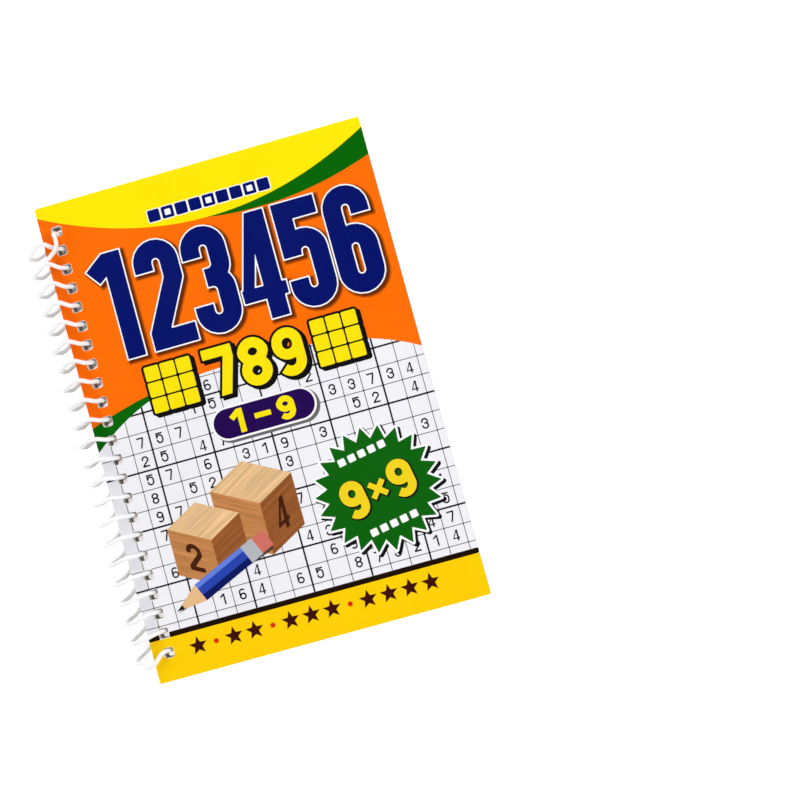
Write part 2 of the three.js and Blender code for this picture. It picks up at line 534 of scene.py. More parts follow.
def digit_strokes(digit, width, height, weight):
    """Centre lines of a block digit in a box of the given size, as lists of points.

    Bowls are half circles as wide as the box, joined by upright stems. A stroke lighter than the
    rest comes with its share of the weight.
    """
    half = weight / 2
    radius = width / 2 - half
    middle = width / 2
    left, right = half, width - half
    top, foot = height - half - radius, half + radius
    waist = height * 0.52
    tail = height * 0.07
    knee = min(radius, (height - weight) / 5)
    line = lambda *points: np.array(points, dtype=float)
    if digit == 1:
        stem = 0.66 * width
        rise = np.array([0.8, 0.6])
        shoulder = np.array([stem - half + 0.6 * half, height - 0.8 * half])
        flag = np.stack([shoulder - rise * (stem - half) * 1.15, shoulder + rise * half])
        return [line((stem, 0), (stem, height)), flag]
    if digit == 2:
        bend = np.array([right, 0.62 * height])
        heel = np.array([0.0, weight]) - bend
        slope = math.atan2(heel[1], heel[0]) + math.asin(half / np.hypot(*heel))
        foot_point = bend + np.array([1 / math.tan(slope), 1.0]) * (half - bend[1])
        hook = [line((left, top - tail)), arc((middle, top), radius, 180, 0), [bend], [foot_point]]
        return [np.concatenate(hook), line((0, half), (width, half))]
    if digit == 3:
        upper = [line((left, top - tail)), arc((middle, top), radius, 180, 0),
                 arc((right - knee, waist + knee), knee, 0, -90, 6)]
        lower = [arc((right - knee, waist - knee), knee, 90, 0, 6),
                 arc((middle, foot), radius, 0, -180), line((left, foot + tail))]
        bridge = line((0.40 * width, waist), (right - knee, waist))
        return [np.concatenate(upper), np.concatenate(lower), bridge]
    if digit == 4:
        stem = line((0.70 * width, 0), (0.70 * width, height))
        beam = line((0, 0.25 * height), (width, 0.25 * height))
        slope = line((0.3 * weight, 0.25 * height), (0.70 * width - 0.2 * weight, height))
        return [stem, (beam, 0.72), (slope, 0.62)]
    if digit == 5:
        bowl = [line((left, waist - 0.02 * height)), arc((middle, waist), radius, 180, 0)]
        bowl += [arc((middle, foot), radius, 0, -180), line((left, foot + tail))]
        return [np.concatenate(bowl), line((left, waist - 0.03 * height), (left, height)),
                line((0, height - half), (0.96 * width, height - half))]
    if digit in (6, 9):
        bowl = 0.55 * height
        is_tall = top - tail - bowl - half > 0.35 * weight
        lip = [line((right, top - tail))] if is_tall else []
        over = arc((middle, top), radius, 0 if is_tall else 35, 180)
        under = arc((middle, foot), radius, 180, 360)
        inner = arc((middle, bowl - radius), radius, 0, 180)
        six = np.concatenate(lip + [over, under, inner])
        return [six] if digit == 6 else [np.array([width, height]) - six]
    if digit == 7:
        leg = line((right, height), (right, height - 1.2 * weight), (0.40 * width, -weight))
        return [line((0, height - half), (width, height - half)), leg]
    loops = []
    for high, low in ((top, waist + radius), (waist - radius, foot)):
        loop = [arc((middle, high), radius, 0, 180), arc((middle, low), radius, 180, 360)]
        loops.append(np.concatenate(loop + [loop[0][:1]]))
    return loops


def digit_field(u, v, digit, width, height, weight):
    """Distance to a block digit: its strokes, cut flat at free ends and by the box."""
    best = np.full(np.shape(u), FAR)
    for stroke in digit_strokes(digit, width, height, weight):
        points, share = stroke if isinstance(stroke, tuple) else (stroke, 1.0)
        best = np.minimum(best, stroke_field(u, v, points, share * weight / 2))
    return np.maximum(best, box_field(u, v, (0, 0), (width, height)))


def digit_regions(width, height, weight, step):
    """Every digit from 1 to 9 as a region, its corner at the origin."""
    regions = {}
    for digit in range(1, 10):
        field = lambda u, v, digit=digit: digit_field(u, v, digit, width, height, weight)
        regions[digit] = fill_field(field, (-0.5, width + 0.5, -0.5, height + 0.5), step)
    return regions


def row_field(digits, low, width, height, weight, gap, slant=0.0):
    """A row of block digits from the corner low; slant turns the row, in degrees."""
    turn = math.radians(slant)

    def field(u, v):
        along = (u - low[0]) * math.cos(turn) + (v - low[1]) * math.sin(turn)
        up = (v - low[1]) * math.cos(turn) - (u - low[0]) * math.sin(turn)
        best = np.full(np.shape(u), FAR)
        for place, digit in enumerate(digits):
            shifted = along - place * (width + gap)
            reach = box_field(shifted, up, (0, 0), (width, height))
            near = reach < DIGIT_REACH
            found = digit_field(shifted[near], up[near], digit, width, height, weight)
            best[near] = np.minimum(best[near], found)
        return best

    return field


def grown(field, amount, shift=(0.0, 0.0)):
    """A field's shape grown outwards and shifted."""
    return lambda u, v: field(u - shift[0], v - shift[1]) - amount


def polygon_field(points):
    """Distance-like field of a closed polygon: least distance to its sides, signed by crossings."""
    def field(u, v):
        best = np.full(np.shape(u), FAR)
        odd = np.zeros(np.shape(u), dtype=bool)
        for (au, av), (bu, bv) in zip(points, np.roll(points, -1, axis=0)):
            best = np.minimum(best, segment_field(u, v, (au, av), (bu, bv), 0.0))
            if av != bv:
                reach = au + (v - av) / (bv - av) * (bu - au)
                odd ^= ((av > v) != (bv > v)) & (u < reach)
        return np.where(odd, -best, best)
    return field


def holes_field(u, v, rim):
    """Distance to the nearest punched hole, grown by rim."""
    nearest = np.clip(np.round((v - HOLE_V[0]) / HOLE_PITCH), 0, HOLE_COUNT - 1)
    local = v - HOLE_V[0] - nearest * HOLE_PITCH
    half = HOLE_HEIGHT / 2 + rim
    return box_field(u, local, (HOLE_NEAR - rim, -half), (HOLE_FAR + rim, half), HOLE_CORNER + rim)


def on_sheet(field, rim=RIM):
    """A field kept inside the trimmed sheet and off its holes."""
    def kept(u, v):
        sheet = box_field(u, v, (0, 0), (PAGE_WIDTH, PAGE_HEIGHT), CARD_CORNER)
        return np.maximum(np.maximum(field(u, v), sheet), -holes_field(u, v, rim))
    return kept


# Sheets

def rounded_ring(low, high, corner, steps):
    """A rectangle's outline with quarter circles at its corners, counterclockwise."""
    (left, foot), (right, head) = np.array(low) + corner, np.array(high) - corner
    middles = [(right, head), (left, head), (left, foot), (right, foot)]
    quarters = [arc(middle, corner, 90 * k, 90 * k + 90, steps) for k, middle in enumerate(middles)]
    return np.concatenate(quarters)


def sheet_region(trim=0.0):
    """The trimmed sheet with its row of rounded square holes."""
    rings = [rounded_ring((0, trim), (PAGE_WIDTH - trim, PAGE_HEIGHT - trim), CARD_CORNER, 3)]
    half = HOLE_HEIGHT / 2
    for v in HOLE_V:
        rings.append(rounded_ring((HOLE_NEAR, v - half), (HOLE_FAR, v + half), HOLE_CORNER, 3))
    return fill_rings(rings)


WHOLE_WINDOW = (-1.0, PAGE_WIDTH + 1.0, -1.0, PAGE_HEIGHT + 1.0)
BAND_STEP, SOFT_STEP, SHAPE_STEP = 0.5, 0.4, 0.3  # mesh widths for tracing borders


def parabola(u, left, middle, right):
    """The parabola through three (u, v) points."""
    (a, fa), (b, fb), (c, fc) = left, middle, right
    first = fa * (u - b) * (u - c) / ((a - b) * (a - c))
    second = fb * (u - a) * (u - c) / ((b - a) * (b - c))
    third = fc * (u - a) * (u - b) / ((c - a) * (c - b))
    return first + second + third


# Front cover print

BAND_TOP = 18.0  # heights are from the foot
RULE_TOP = 20.3
BASE_SPLIT = 95.0  # orange lies under everything above this, the panel's white below
CELL = (8.5, 8.13)
GRID_ORIGIN = (-2.8, 15.3)  # a corner where two heavy lines cross, below the panel
GRID_COLUMNS, GRID_ROWS = 18, 14
GRID_LINES = (0.32, 0.76)  # widths between cells and round blocks
HEAD_LOWEST = 70.0  # where the head field reaches furthest down
PANEL_PEAK = (65.0, 122.6)
CRESCENT_END = 48.0  # under the left icon, before the crescent is too thin to draw


def head_arc(u):
    """The head field's lower edge, a parabola."""
    return parabola(u, (0.0, 205.8), (HEAD_LOWEST, 186.3), (PAGE_WIDTH, 205.3))


def green_foot(u):
    """The lower edge of the green band below the head field, a parabola."""
    return parabola(u, (HEAD_LOWEST, 186.4), (107.0, 185.0), (PAGE_WIDTH, 193.3))


def panel_top(u):
    """The white panel's arched top, which falls from its peak by powers of the distance."""
    peak_u, peak_v = PANEL_PEAK
    left = 21.3 * (np.maximum(peak_u - u, 0.0) / peak_u) ** 2.5
    right = 14.3 * (np.maximum(u - peak_u, 0.0) / (PAGE_WIDTH - peak_u)) ** 3.3
    return peak_v - left - right


def crescent_top(u):
    """The upper edge of the green crescent left of the panel's peak, a power of the distance."""
    return 122.9 - 10.9 * (np.maximum(PANEL_PEAK[0] - u, 0.0) / PANEL_PEAK[0]) ** 2.1


def panel_field(u, v):
    """The panel, from its arched top down to the rule."""
    return np.maximum(v - panel_top(u), RULE_TOP - v)


def grid_field(u, v):
    """Sudoku lines: thin between cells and heavy round each block of nine."""
    distance = FAR
    for origin, size, value in ((GRID_ORIGIN[0], CELL[0], u), (GRID_ORIGIN[1], CELL[1], v)):
        step = (value - origin) / size
        thin = np.abs(step - np.round(step)) * size - GRID_LINES[0] / 2
        heavy = np.abs(step - 3 * np.round(step / 3)) * size - GRID_LINES[1] / 2
        distance = np.minimum(distance, np.minimum(thin, heavy))
    return np.maximum(distance, panel_field(u, v))


TITLE = row_field(
    [1, 2, 3, 4, 5, 6], low=(14.0, 136.6), width=19.4, height=46.8, weight=7.9, gap=1.7)
TITLE_WINDOW = (8.0, PAGE_WIDTH, 131.0, 188.0)
TITLE_SHADES = [(1.6, 0.2), (1.15, 0.42), (0.7, 0.7)]  # how far each reaches out, and how dark it is
SECOND_LINE = row_field([7, 8, 9], low=(53.2, 110.6), width=13.2, height=21.0, weight=4.4, gap=1.9)
SECOND_WINDOW = (22.0, 128.0, 105.0, 136.0)
PILL_LOW, PILL_HIGH = (49.7, 91.3), (95.8, 105.8)
PILL_WINDOW = (44.0, 101.0, 86.0, 110.0)
PILL_DIGITS = row_field([1, 9], low=(57.6, 93.4), width=7.8, height=10.4, weight=2.5, gap=13.2)
PILL_DASH = ((68.6, 97.5), (75.8, 99.8))
BURST_MIDDLE = np.array([111.0, 55.0])
BURST_RADIUS = (21.5, 27.0)
BURST_POINTS = 22
BURST_SLANT = 10.0
BURST_NINE = (10.6, 16.6)
NINE_CORNERS = [(-16.3, -8.3), (5.5, -8.3)]  # from the burst's middle, before its slant
CROSS_ARMS = np.array([(2.7, 3.6), (3.6, -2.7)])
BURST_SQUARE, BURST_PITCH = 3.2, 4.6
BURST_ROWS = (14.9, -17.5)  # the rows of squares, from the burst's middle


def star_points(middle, inner, outer, count, turn=90.0):
    """A star's corners: count points on the outer circle, with the inner circle between them."""
    angle = np.radians(turn + np.arange(2 * count) * 180.0 / count)
    radius = np.where(np.arange(2 * count) % 2 == 0, outer, inner)
    return np.stack([middle[0] + radius * np.cos(angle), middle[1] + radius * np.sin(angle)], 1)


BURST = polygon_field(star_points(BURST_MIDDLE, *BURST_RADIUS, BURST_POINTS, BURST_SLANT))


def mini_grid(low, size):
    """A small three by three grid of rounded squares, from the corner low."""
    pitch = size / 3

    def field(u, v):
        best = np.full(np.shape(u), FAR)
        for column in range(3):
            for row in range(3):
                corner = np.array(low) + pitch * np.array([column, row]) + 0.35
                best = np.minimum(best, box_field(u, v, corner, corner + pitch - 0.7, 0.6))
        return best

    return field


ICONS = [mini_grid((27.5, 110.6), 21.0), mini_grid((101.0, 110.6), 21.0)]


def second_line_field(u, v):
    """The second row: three digits between two small grids."""
    return np.minimum.reduce([part(u, v) for part in (SECOND_LINE, *ICONS)])


class CoverPrint:
    """Puts printed regions on the front cover, each colour and layer as one piece."""

    def __init__(self, base):
        self.base = base
        self.inks = {}

    def ink(self, colour):
        """The ink of a colour, made once."""
        name = "ink_" + "_".join(str(c) for c in colour)
        if name not in self.inks:
            self.inks[name] = laminated_ink(name, colour)
        return self.inks[name]

    def lay(self, name, layer, colour, region, material=None):
        """One region as a printed slab in a numbered layer."""
        z = self.base + layer * INK
        points, faces = slab(region, z, z + INK)
        ink = material or self.ink(colour)
        piece("print_" + name, on_page(points), faces, ink, "front_cover")

    def field(self, name, layer, colour, field, window, step):
        """The same from a field, kept on the sheet and off its holes."""
        self.lay(name, layer, colour, fill_field(on_sheet(field), window, step))


def mixed(colour, other, share):
    """A colour part of the way to another."""
    return tuple(int(round(a + (b - a) * share)) for a, b in zip(colour, other))


def print_bands(cover):
    """Colour fields: each is the sheet between two curves."""
    cover.field("orange_field", 0, ORANGE, lambda u, v: BASE_SPLIT - v, WHOLE_WINDOW, BAND_STEP)
    cover.field("panel_base", 0, PANEL, lambda u, v: v - BASE_SPLIT, WHOLE_WINDOW, BAND_STEP)
    cover.field("head_field", 1, YELLOW, lambda u, v: head_arc(u) - v, WHOLE_WINDOW, BAND_STEP)

    def green_bands(u, v):
        """The band below the head field on the right, and the crescent above the panel on the left."""
        band = np.maximum.reduce([v - head_arc(u), green_foot(u) - v, HEAD_LOWEST - u])
        crescent = np.maximum.reduce([v - crescent_top(u), panel_top(u) - v, u - CRESCENT_END])
        return np.minimum(band, crescent)

    cover.field("green_bands", 1, GREEN, green_bands, WHOLE_WINDOW, SOFT_STEP)
    cover.field("panel", 1, PANEL, panel_field, WHOLE_WINDOW, BAND_STEP)
    cover.field("foot_band", 1, GOLD, lambda u, v: v - BAND_TOP, WHOLE_WINDOW, BAND_STEP)
    rule = lambda u, v: np.maximum(BAND_TOP - v, v - RULE_TOP)
    cover.field("rule", 1, RULE_BLACK, rule, WHOLE_WINDOW, BAND_STEP)


PUZZLE_DIGIT, PUZZLE_WEIGHT = (3.0, 4.7), 0.66
PUZZLE_SHARE = 0.5  # of the cells
PUZZLE_MARGINS = (10.5, 4.0)  # from the spine and the fore edge to the middle of a filled cell
PENCIL_START, PENCIL_SLANT = np.array([15.0, 27.5]), 24.0
PENCIL_LENGTH, PENCIL_HALF = 50.0, 4.2
PENCIL_ENDS = (13.0, 38.0, 44.0)  # of the cone, barrel and ferrule, from the point


def puzzle_digits():
    """Cells of the cover's grid that hold a digit: seeded, and clear of what is printed over them."""
    cells = []
    for column in range(GRID_COLUMNS):
        for row in range(GRID_ROWS):
            low = np.array(GRID_ORIGIN) + np.array(CELL) * (column, row)
            digit = int(rng.integers(1, 10))
            keep = rng.random() < PUZZLE_SHARE
            middle = low + np.array(CELL) / 2
            top = min(float(panel_top(low[0])), float(panel_top(low[0] + CELL[0])))
            clear_of_bands = low[1] > RULE_TOP - 1 and low[1] + CELL[1] < top + 1
            clear_of_edges = PUZZLE_MARGINS[0] < middle[0] < PAGE_WIDTH - PUZZLE_MARGINS[1]
            under_burst = np.hypot(*(middle - BURST_MIDDLE)) < BURST_RADIUS[0]
            along, across = turned(middle[None], PENCIL_START, -PENCIL_SLANT)[0] - PENCIL_START
            under_pencil = 0 < along < PENCIL_LENGTH and abs(across) < PENCIL_HALF + 0.4
            if keep and clear_of_bands and clear_of_edges and not under_burst and not under_pencil:
                cells.append((low, digit))
    return cells


def print_puzzle(cover):
    """The sudoku grid and its digits on the white panel."""
    cover.field("grid", 2, GRID_BLACK, grid_field, WHOLE_WINDOW, step=0.25)
    shapes = digit_regions(*PUZZLE_DIGIT, PUZZLE_WEIGHT, step=0.12)
    inset = (np.array(CELL) - PUZZLE_DIGIT) / 2
    cells = [moved(shapes[digit], low + inset) for low, digit in puzzle_digits()]
    cover.lay("puzzle_digits", 2, BLACK, joined(cells))


def print_title(cover):
    """The large row of digits with its soft shadow, white outline and navy face."""
    for k, (reach, share) in enumerate(TITLE_SHADES, 1):
        shade = mixed(ORANGE, TITLE_SHADE, share)
        shadow = grown(TITLE, reach, shift=(1.0, -1.1))
        cover.field(f"title_shade_{k}", 1 + k, shade, shadow, TITLE_WINDOW, SOFT_STEP)
    cover.field("title_outline", 5, WHITE, grown(TITLE, 0.6), TITLE_WINDOW, SHAPE_STEP)
    cover.field("title_face", 6, NAVY, TITLE, TITLE_WINDOW, SHAPE_STEP)


def print_second_line(cover):
    """The smaller yellow row with its black outline and shadow."""
    outline = grown(second_line_field, 1.0)
    shadow = grown(second_line_field, 0.9, shift=(1.2, -1.2))
    both = lambda u, v: np.minimum(outline(u, v), shadow(u, v))
    cover.field("line_outline", 7, BLACK, both, SECOND_WINDOW, SHAPE_STEP)
    cover.field("line_face", 8, LETTER_YELLOW, second_line_field, SECOND_WINDOW, SHAPE_STEP)


def print_pill(cover):
    """The round-ended label below the title."""
    shape = lambda u, v: box_field(u, v, PILL_LOW, PILL_HIGH, (PILL_HIGH[1] - PILL_LOW[1]) / 2)
    dash = lambda u, v: box_field(u, v, *PILL_DASH)
    shadow = grown(shape, 0.2, shift=(1.0, -1.0))
    cover.field("pill_shade", 7, mixed(PANEL, BLACK, 0.6), shadow, PILL_WINDOW, SHAPE_STEP)
    cover.field("pill_outline", 8, WHITE, shape, PILL_WINDOW, SHAPE_STEP)
    cover.field("pill_edge", 9, PURPLE, grown(shape, -0.9), PILL_WINDOW, SHAPE_STEP)
    letters = lambda u, v: np.minimum(PILL_DIGITS(u, v), dash(u, v))
    cover.field("pill_digits", 10, LETTER_YELLOW, letters, PILL_WINDOW, step=0.2)


def print_burst(cover):
    """The starburst: shadow, white outline, green face, and its digits and squares on a slant."""
    (u0, v0), reach = BURST_MIDDLE, BURST_RADIUS[1] + 5
    window = (u0 - reach, u0 + reach, v0 - reach, v0 + reach)
    shadow = grown(BURST, 1.0, shift=(0.9, -1.1))
    cover.field("burst_shade", 3, BLACK, shadow, window, SHAPE_STEP)
    cover.field("burst_outline", 4, WHITE, grown(BURST, 0.9), window, SHAPE_STEP)
    cover.field("burst_face", 5, BURST_GREEN, BURST, window, SHAPE_STEP)
    corners = turned(BURST_MIDDLE + NINE_CORNERS, BURST_MIDDLE, BURST_SLANT)
    nines = [row_field([9], low, *BURST_NINE, weight=3.7, gap=0.0, slant=BURST_SLANT) for low in corners]
    strokes = [np.stack([BURST_MIDDLE - arm, BURST_MIDDLE + arm]) for arm in CROSS_ARMS]

    def figures(u, v):
        """Two digits with a cross between them."""
        cross = [stroke_field(u, v, stroke, 1.2) for stroke in strokes]
        return np.minimum.reduce(cross + [nine(u, v) for nine in nines])

    edge = grown(figures, 0.5, shift=(0.35, -0.35))
    cover.field("burst_figure_edge", 6, BLACK, edge, window, step=0.25)
    cover.field("burst_figures", 7, FIGURE_YELLOW, figures, window, step=0.25)
    squares = []
    for rise in BURST_ROWS:
        for k in range(-2, 3):
            low = BURST_MIDDLE + (k * BURST_PITCH - BURST_SQUARE / 2, rise)
            ring = rounded_ring(low, low + BURST_SQUARE, 0.4, 2)
            squares.append(fill_rings([turned(ring, BURST_MIDDLE, BURST_SLANT)]))
    cover.lay("burst_squares", 6, WHITE, joined(squares))


HEAD_ROW = np.array([46.8, 190.6])
HEAD_SQUARE, HEAD_PITCH, HEAD_WALL = 5.2, 6.1, 1.3


def print_head_row(cover):
    """Nine small squares at the head with white edges, every third one hollow."""
    edges, squares = [], []
    for k in range(9):
        low = HEAD_ROW + (k * HEAD_PITCH, 0.0)
        high = low + HEAD_SQUARE
        hollow = [rounded_ring(low + HEAD_WALL, high - HEAD_WALL, 0.3, 2)] if k % 3 == 1 else []
        squares.append(fill_rings([rounded_ring(low, high, 0.6, 3)] + hollow))
        edges.append(fill_rings([rounded_ring(low - 0.4, high + 0.4, 0.9, 3)]))
    cover.lay("head_square_edges", 2, WHITE, joined(edges))
    cover.lay("head_squares", 3, NAVY, joined(squares))


FOOT_ROW = (20.0, 11.5)  # the first star's middle
STAR_RADIUS = (1.75, 4.1)
STAR_PITCH, GROUP_GAP = 9.1, 6.7
DOT_RADIUS, DOT_BACK = 1.1, 1.2


def print_foot_row(cover):
    """Groups of one to four stars on the foot band, parted by dots."""
    stars, dots = [], []
    u, v = FOOT_ROW
    for count in range(1, 5):
        for _ in range(count):
            stars.append(fill_rings([star_points((u, v), *STAR_RADIUS, 5)]))
            u += STAR_PITCH
        if count < 4:
            dots.append(fill_rings([arc((u - DOT_BACK, v), DOT_RADIUS, 0, 337.5, 15)]))
            u += GROUP_GAP
    cover.lay("foot_stars", 2, MAROON, joined(stars))
    cover.lay("foot_dots", 2, RED, joined(dots))


WOODS = {"top": (240, 198, 146), "left": (202, 136, 80), "right": (156, 92, 46)}
BLOCK_LEFT, BLOCK_RIGHT = np.array([-0.86, 0.46]), np.array([0.72, 0.4])  # a cube's lower edges
BLOCKS = [  # name, lowest corner, side, layer, digit and its face
    ("far", (61.0, 40.0), 22.5, 5, 4, "right"),
    ("near", (37.0, 33.0), 20.0, 8, 2, "left"),
]
LABEL_SIZE, LABEL_WEIGHT = (0.34, 0.6), 0.1  # of a block's side


def print_blocks(cover):
    """Two wooden number blocks: three faces of a cube seen from a corner, with grain and a digit."""
    square = bar((0, 0), (1, 1))
    grains = {"top": BLOCK_RIGHT, "left": BLOCK_LEFT, "right": BLOCK_RIGHT}
    woods = {face: wood_ink("wood_" + face, WOODS[face], along) for face, along in grains.items()}
    shapes = digit_regions(*LABEL_SIZE, LABEL_WEIGHT, step=0.02)
    for name, corner, side, layer, digit, labelled in BLOCKS:
        corner = np.array(corner)
        left, right, up = BLOCK_LEFT * side, BLOCK_RIGHT * side, np.array([0.0, side])
        planes = {
            "top": (corner + up, right, left),
            "left": (corner + left, -left, up),
            "right": (corner, right, up),
        }
        for face, plane in planes.items():
            cover.lay(f"block_{name}_{face}", layer, WOODS[face], sheared(square, *plane), woods[face])
        label = moved(shapes[digit], (1 - np.array(LABEL_SIZE)) / 2)
        cover.lay(f"block_{name}_digit", layer + 1, LABEL_BROWN, sheared(label, *planes[labelled]))


def print_pencil(cover):
    """A pencil in front of the blocks: facets along the barrel, ferrule, eraser, cone and point."""
    half = PENCIL_HALF
    rubber = 0.92 * half
    cone, barrel, ferrule = PENCIL_ENDS
    box = lambda low, high, foot, top: [(low, foot), (high, foot), (high, top), (low, top)]
    end = PENCIL_LENGTH - 1
    shade = [(0.0, -1.0), (end, -half - 1.2), (end, half - 2.0), (12.0, 0.0)]
    parts = [
        ("shade", 11, (84, 62, 48), shade),
        ("low", 12, (10, 24, 92), box(cone, barrel, -half, -half / 3)),
        ("mid", 12, (40, 66, 170), box(cone, barrel, -half / 3, half / 2)),
        ("high", 12, (96, 124, 214), box(cone, barrel, half / 2, half)),
        ("ferrule", 12, (178, 180, 186), box(barrel, ferrule, -half, half)),
        ("eraser", 12, (206, 110, 96), box(ferrule, PENCIL_LENGTH, -rubber, rubber)),
        ("cone", 12, (226, 184, 132), [(3.2, -0.95), (cone, -half), (cone, half), (3.2, 0.95)]),
        ("point", 13, (32, 30, 36), [(0.0, 0.0), (3.4, -1.0), (3.4, 1.0)]),
    ]
    for name, layer, colour, corners in parts:
        ring = turned(PENCIL_START + corners, PENCIL_START, PENCIL_SLANT)
        cover.lay("pencil_" + name, layer, colour, fill_rings([ring]))


card_white = paper("card_white", CARD_WHITE)


def build_front_cover():
    """The card with its holes, then every printed layer upwards from it."""
    low, high = COVER_LOW[2], COVER_HIGH[2] - 4 * INK
    points, faces = slab(sheet_region(), low, high)
    card = piece("front_card", on_page(points), faces, card_white, "front_cover")
    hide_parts("front_cover")
    cover = CoverPrint(high)
    parts = (print_bands, print_puzzle, print_head_row, print_foot_row, print_title,
             print_burst, print_blocks, print_pencil, print_second_line, print_pill)
    for print_part in parts:
        print_part(cover)


BACK_HILL = ((0.0, 30.0), (75.0, 44.0), (PAGE_WIDTH, 30.0))


def build_back_cover():
    """The back card, with plain printed fields on its outer face, which looks down."""
    low, high = BACK_LOW[2] + 2 * INK, BACK_HIGH[2]
    points, faces = slab(sheet_region(), low, high)
    card = piece("back_card", on_page(points), faces, card_white, "base")
    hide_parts("back_cover")
    fields = [
        ("back_orange_field", ORANGE, 0, lambda u, v: -np.ones_like(u)),
        ("back_gold_band", GOLD, 1, lambda u, v: v - parabola(u, *BACK_HILL)),
        ("back_head_field", YELLOW, 1, lambda u, v: head_arc(u) - v),
    ]
    for name, colour, layer, field in fields:
        region = fill_field(on_sheet(field), WHOLE_WINDOW, BAND_STEP)
        z = low - (layer + 1) * INK
        points, faces = slab(region, z, z + INK)
        piece(name, on_page(points), faces, laminated_ink("ink_" + name, colour), "base")


# Page block

PAGE_CELL = 12.6
PAGE_GRID_LOW = (23.0, 58.0)
PAGE_LINES = (0.22, 0.75)  # widths between cells and round blocks
PAGE_DIGIT, PAGE_WEIGHT = (4.6, 7.2), 0.85
PAGE_SHARE = 0.36  # of the cells
TRIM = (0.05, 0.3)  # least and most that a leaf falls short of the covers
PAGE_STAR, PAGE_STAR_PITCH = (1.0, 2.4), 6.6
STARS_ABOVE = 7.0  # from the grid to the middles of its stars
MOST_STARS = 4


def page_grid():
    """Lines of one page's nine by nine puzzle."""
    bars = []
    size = 9 * PAGE_CELL
    u0, v0 = PAGE_GRID_LOW
    past_end = PAGE_LINES[1] / 2
    for k in range(10):
        half = PAGE_LINES[k % 3 == 0] / 2
        u, v = u0 + k * PAGE_CELL, v0 + k * PAGE_CELL
        bars.append(bar((u - half, v0 - past_end), (u + half, v0 + size + past_end)))
        bars.append(bar((u0, v - half), (u0 + size, v + half)))
    return bars


def page_stars(count):
    """A row of small stars above the grid, from its left edge."""
    u = PAGE_GRID_LOW[0] + PAGE_STAR[1]
    v = PAGE_GRID_LOW[1] + 9 * PAGE_CELL + STARS_ABOVE
    middles = [(u + k * PAGE_STAR_PITCH, v) for k in range(count)]
    return [fill_rings([star_points(middle, *PAGE_STAR, 5)]) for middle in middles]


def page_print(shapes, stars):
    """One page: the grid, a seeded, valid set of its digits, and stars for how hard it is."""
    regions = page_grid() + page_stars(stars)
    order = rng.permutation(9) + 1
    inset = (PAGE_CELL - np.array(PAGE_DIGIT)) / 2
    for row in range(9):
        for column in range(9):
            if rng.random() < PAGE_SHARE:
                digit = int(order[(row * 3 + row // 3 + column) % 9])
                low = np.array(PAGE_GRID_LOW) + PAGE_CELL * np.array([column, row]) + inset
                regions.append(moved(shapes[digit], low))
    return joined(regions)


def mirrored(region):
    """A page region turned over about the middle of its grid, as read on the back of a sheet."""
    flat, triangles = region
    both_edges = 2 * PAGE_GRID_LOW[0] + 9 * PAGE_CELL
    return np.array([both_edges, 0.0]) + flat * (-1, 1), triangles[:, ::-1]


def build_leaves():
    """Each section: five loose leaves with slightly uneven trim, printed on both outer faces."""
    # bands down to 0.84: painted shade between the leaves on the page edges, besides a tint per leaf
    leaf_paper = paper("leaf_paper", LEAF_WHITE, 0.84)
    ink = page_ink("leaf_ink", LEAF_BLACK)
    shapes = digit_regions(*PAGE_DIGIT, PAGE_WEIGHT, step=0.2)
    for place, node in enumerate(SECTIONS):
        low, high = (np.array(corner)[2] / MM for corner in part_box(node))
        bottom, top = low + INK / 2, high - INK / 2
        pitch = (top - bottom) / LEAVES_PER_SECTION
        leaves = []
        for k in range(LEAVES_PER_SECTION):
            trim = TRIM[0] + (TRIM[1] - TRIM[0]) * rng.random()
            z = bottom + k * pitch
            is_top = k == LEAVES_PER_SECTION - 1
            leaves.append(slab(sheet_region(trim), z, z + (pitch if is_top else LEAF_THICKNESS)))
        points, faces = stacked(leaves)
        block = piece(node + "_paper", on_page(points), faces, leaf_paper, node)
        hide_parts(node)
        stars = 1 + MOST_STARS * place // len(SECTIONS)
        above = slab(page_print(shapes, stars), top, top + INK / 2)
        below = slab(mirrored(page_print(shapes, stars)), bottom - INK / 2, bottom)
        points, faces = stacked([above, below])
        piece(node + "_print", on_page(points), faces, ink, node)


# Coil

CLEAR_ANGLE = math.asin((HALF_STACK + WIRE_RADIUS) / COIL_RADIUS)
TAIL_START = 0.62 * CLEAR_ANGLE  # where the bent end leaves the last turn
TAIL = [  # along x, y and z from the coil's axis
    (6.3, 92.2, 6.6), (6.9, 90.0, 8.3), (6.8, 86.8, 8.95),
    (5.3, 84.3, 9.0), (3.4, 82.9, 8.8), (1.9, 81.9, 8.4),
]
FOOT_RUN = np.array([[1.9], [0.9]])  # points on the straight run below the first hole


def smoothstep(value, low, high):
    """Rises from 0 at low to 1 at high with level ends."""
    t = np.clip((value - low) / (high - low), 0.0, 1.0)
    return t * t * (3 - 2 * t)


